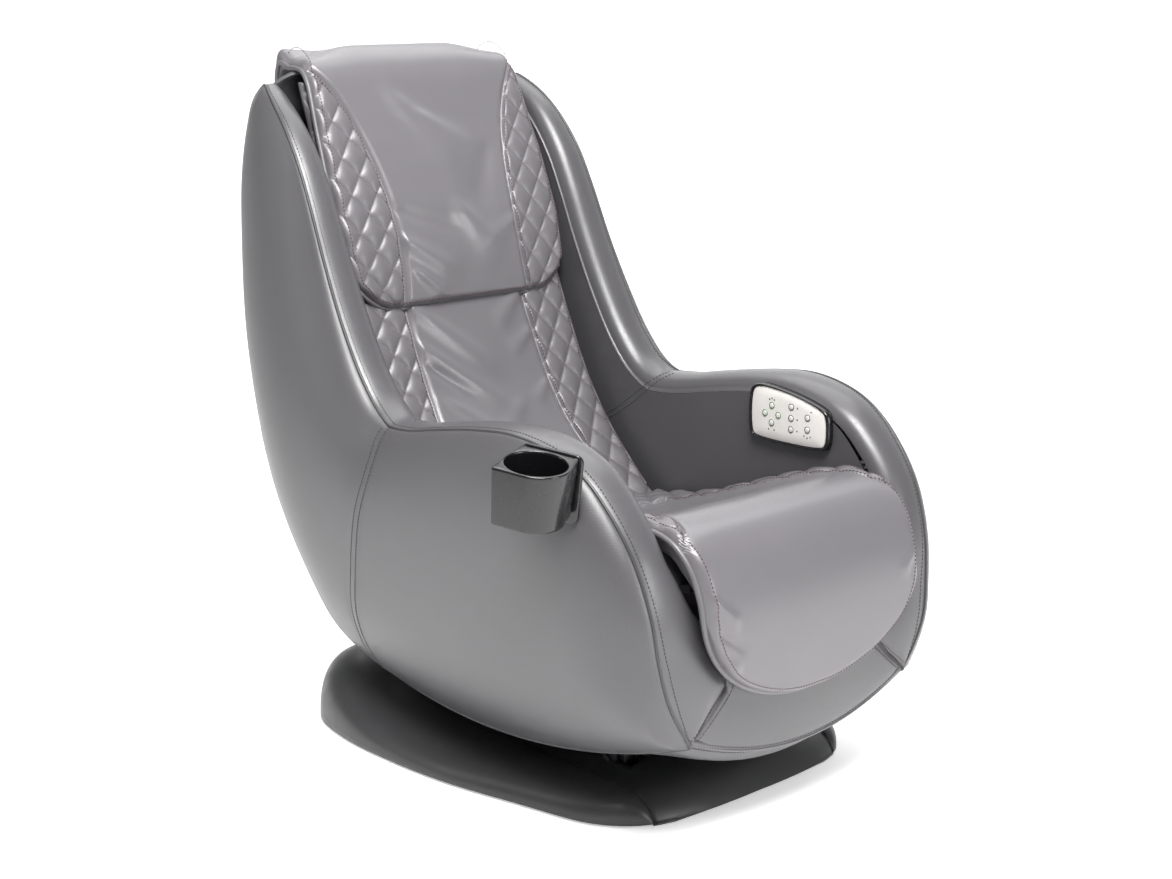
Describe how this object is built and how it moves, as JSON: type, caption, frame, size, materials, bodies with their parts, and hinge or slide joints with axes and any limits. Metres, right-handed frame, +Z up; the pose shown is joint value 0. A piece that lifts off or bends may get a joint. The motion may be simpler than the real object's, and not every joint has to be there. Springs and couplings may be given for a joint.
{
  "type": "massage chair",
  "caption": "Compact armchair with a roller massage unit in the back, a key panel on one arm, a cup holder, and a seat shell that glides on a curved low base.",
  "frame": {"origin": "on the floor, at the middle of the central foot under the base", "axes": "+Z up, -Y the way the sitter faces, +X to the sitter's left"},
  "size_m": [0.7871, 0.9411, 1.022],
  "materials": {
    "upholstery": "smooth grained synthetic leather",
    "overlay": "quilted synthetic leather over foam",
    "shell_plastic": "fine texture",
    "base_plastic": "satin",
    "steel": "black powder coat",
    "bright_steel": "ground",
    "rubber": "matte",
    "gloss_black": "polished",
    "faceplate": "printed film, satin",
    "key_green": "domed keys",
    "key_grey": "domed keys",
    "wood": "raw plywood",
    "zinc": "zinc plated sheet",
    "nylon": "moulded nylon",
    "airbag": "coated film",
    "motor": "satin"
  },
  "bodies": {
    "base": {"base_frame": "steel", "base_side_cover_left": "base_plastic", "base_side_cover_right": "base_plastic", "base_center_cover": "base_plastic", "base_feet": "rubber", "stop_buffers": "rubber", "roller_brackets": "steel"},
    "front_rollers": {"front_track_axle": "bright_steel", "front_track_rollers": "nylon"},
    "rear_rollers": {"rear_track_axle": "bright_steel", "rear_track_rollers": "nylon"},
    "chair": {"side_panel_left": "upholstery", "side_panel_right": "upholstery", "arm_liner_left": "upholstery", "arm_liner_right": "upholstery", "side_board_left": "wood", "side_board_right": "wood", "rear_cover": "upholstery", "bottom_pan": "shell_plastic", "front_panel": "upholstery", "back_overlay": "overlay", "seat_cushion": "overlay", "head_pad_flap": "overlay", "seat_frame": "steel", "rocker_rails": "steel", "back_frame": "steel", "massage_rail_left": "zinc", "massage_rail_right": "zinc", "seat_airbag": "airbag", "power_supply": "shell_plastic", "air_pump": "shell_plastic", "power_inlet": "gloss_black", "control_bezel": "gloss_black", "control_faceplate": "faceplate", "cup_holder_bracket": "gloss_black"},
    "head_pad": {"head_pad": "overlay"},
    "cup_holder": {"cup_holder": "gloss_black"},
    "power_switch": {"power_switch": "gloss_black"},
    "carriage": {"carriage_frame": "zinc", "travel_motor": "motor", "knead_motor": "motor"},
    "pinion_shaft": {"travel_pinion_shaft": "bright_steel"},
    "guide_upper": {"guide_wheels_upper": "nylon"},
    "guide_lower": {"guide_wheels_lower": "nylon"},
    "knead_shaft": {"knead_shaft": "bright_steel"},
    "arm_left": {"massage_arm_left": "nylon"},
    "arm_right": {"massage_arm_right": "nylon"},
    "roller_upper_left": {"massage_roller_upper_left": "nylon"},
    "roller_upper_right": {"massage_roller_upper_right": "nylon"},
    "roller_lower_left": {"massage_roller_lower_left": "nylon"},
    "roller_lower_right": {"massage_roller_lower_right": "nylon"},
    "key_mode_up": {"key_mode_up": "key_green"},
    "key_mode_back": {"key_mode_back": "key_green"},
    "key_mode_forward": {"key_mode_forward": "key_green"},
    "key_mode_down": {"key_mode_down": "key_green"},
    "key_program_first": {"key_program_first": "key_grey"},
    "key_program_second": {"key_program_second": "key_grey"},
    "key_program_third": {"key_program_third": "key_grey"},
    "key_timer": {"key_timer": "key_grey"},
    "key_power": {"key_power": "key_grey"}
  },
  "joints": [
    {"name": "rock", "type": "hinge", "parent": "base", "child": "chair", "pos_m": [0, -0.07, 1.164], "axis": [-1, 0, 0], "range_deg": [-3, 7]},
    {"name": "front_roller_spin", "type": "hinge", "parent": "base", "child": "front_rollers", "pos_m": [0, -0.21653, 0.051], "axis": [1, 0, 0], "range_deg": [-170, 370]},
    {"name": "rear_roller_spin", "type": "hinge", "parent": "base", "child": "rear_rollers", "pos_m": [0, 0.09593, 0.05373], "axis": [1, 0, 0], "range_deg": [-170, 370]},
    {"name": "head_pad_lift", "type": "hinge", "parent": "chair", "child": "head_pad", "pos_m": [0, 0.3715, 0.9395], "axis": [-1, 0, 0], "range_deg": [0, 110]},
    {"name": "cup_holder_lift", "type": "slide", "parent": "chair", "child": "cup_holder", "axis": [-0.0392, -0.169, 0.9848], "range_m": [0, 0.045]},
    {"name": "power_switch_rock", "type": "hinge", "parent": "chair", "child": "power_switch", "pos_m": [0, 0.34256, 0.29424], "axis": [-1, 0, 0], "range_deg": [0, 8]},
    {"name": "massage_travel", "type": "hinge", "parent": "chair", "child": "carriage", "pos_m": [0, -1.48212, 1.4025], "axis": [1, 0, 0], "range_deg": [-3.2, 3.2]},
    {"name": "pinion_spin", "type": "hinge", "parent": "carriage", "child": "pinion_shaft", "pos_m": [0, 0.33525, 0.57957], "axis": [1, 0, 0], "range_deg": [-545, 545]},
    {"name": "guide_upper_spin", "type": "hinge", "parent": "carriage", "child": "guide_upper", "pos_m": [0, 0.37436, 0.65852], "axis": [1, 0, 0], "range_deg": [-500, 500]},
    {"name": "guide_lower_spin", "type": "hinge", "parent": "carriage", "child": "guide_lower", "pos_m": [0, 0.3281, 0.55215], "axis": [1, 0, 0], "range_deg": [-500, 500]},
    {"name": "knead_shaft_spin", "type": "hinge", "parent": "carriage", "child": "knead_shaft", "pos_m": [0, 0.34028, 0.62318], "axis": [1, 0, 0], "continuous": true},
    {"name": "arm_left_tap", "type": "hinge", "parent": "carriage", "child": "arm_left", "pos_m": [0, 0.34028, 0.62318], "axis": [1, 0, 0], "range_deg": [-6, 6]},
    {"name": "arm_right_tap", "type": "hinge", "parent": "carriage", "child": "arm_right", "pos_m": [0, 0.34028, 0.62318], "axis": [1, 0, 0], "range_deg": [-6, 6]},
    {"name": "roller_upper_left_spin", "type": "hinge", "parent": "arm_left", "child": "roller_upper_left", "pos_m": [0, 0.34084, 0.67964], "axis": [1, 0, 0], "continuous": true},
    {"name": "roller_upper_right_spin", "type": "hinge", "parent": "arm_right", "child": "roller_upper_right", "pos_m": [0, 0.34084, 0.67964], "axis": [1, 0, 0], "continuous": true},
    {"name": "roller_lower_left_spin", "type": "hinge", "parent": "arm_left", "child": "roller_lower_left", "pos_m": [0, 0.29937, 0.58427], "axis": [1, 0, 0], "continuous": true},
    {"name": "roller_lower_right_spin", "type": "hinge", "parent": "arm_right", "child": "roller_lower_right", "pos_m": [0, 0.29937, 0.58427], "axis": [1, 0, 0], "continuous": true},
    {"name": "key_mode_up_press", "type": "slide", "parent": "chair", "child": "key_mode_up", "axis": [1, 0, 0], "range_m": [0, 0.0008], "stiffness_N_per_m": 1500},
    {"name": "key_mode_back_press", "type": "slide", "parent": "chair", "child": "key_mode_back", "axis": [1, 0, 0], "range_m": [0, 0.0008], "stiffness_N_per_m": 1500},
    {"name": "key_mode_forward_press", "type": "slide", "parent": "chair", "child": "key_mode_forward", "axis": [1, 0, 0], "range_m": [0, 0.0008], "stiffness_N_per_m": 1500},
    {"name": "key_mode_down_press", "type": "slide", "parent": "chair", "child": "key_mode_down", "axis": [1, 0, 0], "range_m": [0, 0.0008], "stiffness_N_per_m": 1500},
    {"name": "key_program_first_press", "type": "slide", "parent": "chair", "child": "key_program_first", "axis": [1, 0, 0], "range_m": [0, 0.0008], "stiffness_N_per_m": 1500},
    {"name": "key_program_second_press", "type": "slide", "parent": "chair", "child": "key_program_second", "axis": [1, 0, 0], "range_m": [0, 0.0008], "stiffness_N_per_m": 1500},
    {"name": "key_program_third_press", "type": "slide", "parent": "chair", "child": "key_program_third", "axis": [1, 0, 0], "range_m": [0, 0.0008], "stiffness_N_per_m": 1500},
    {"name": "key_timer_press", "type": "slide", "parent": "chair", "child": "key_timer", "axis": [1, 0, 0], "range_m": [0, 0.0008], "stiffness_N_per_m": 1500},
    {"name": "key_power_press", "type": "slide", "parent": "chair", "child": "key_power", "axis": [1, 0, 0], "range_m": [0, 0.0008], "stiffness_N_per_m": 1500}
  ],
  "couplings": [
    {"joint": "front_roller_spin", "follows": "rock", "ratio": 50.014},
    {"joint": "rear_roller_spin", "follows": "rock", "ratio": 50.014},
    {"joint": "pinion_spin", "follows": "massage_travel", "ratio": -167.25},
    {"joint": "guide_upper_spin", "follows": "massage_travel", "ratio": -152.54},
    {"joint": "guide_lower_spin", "follows": "massage_travel", "ratio": -152.54},
    {"joint": "arm_right_tap", "follows": "arm_left_tap", "ratio": -1}
  ]
}
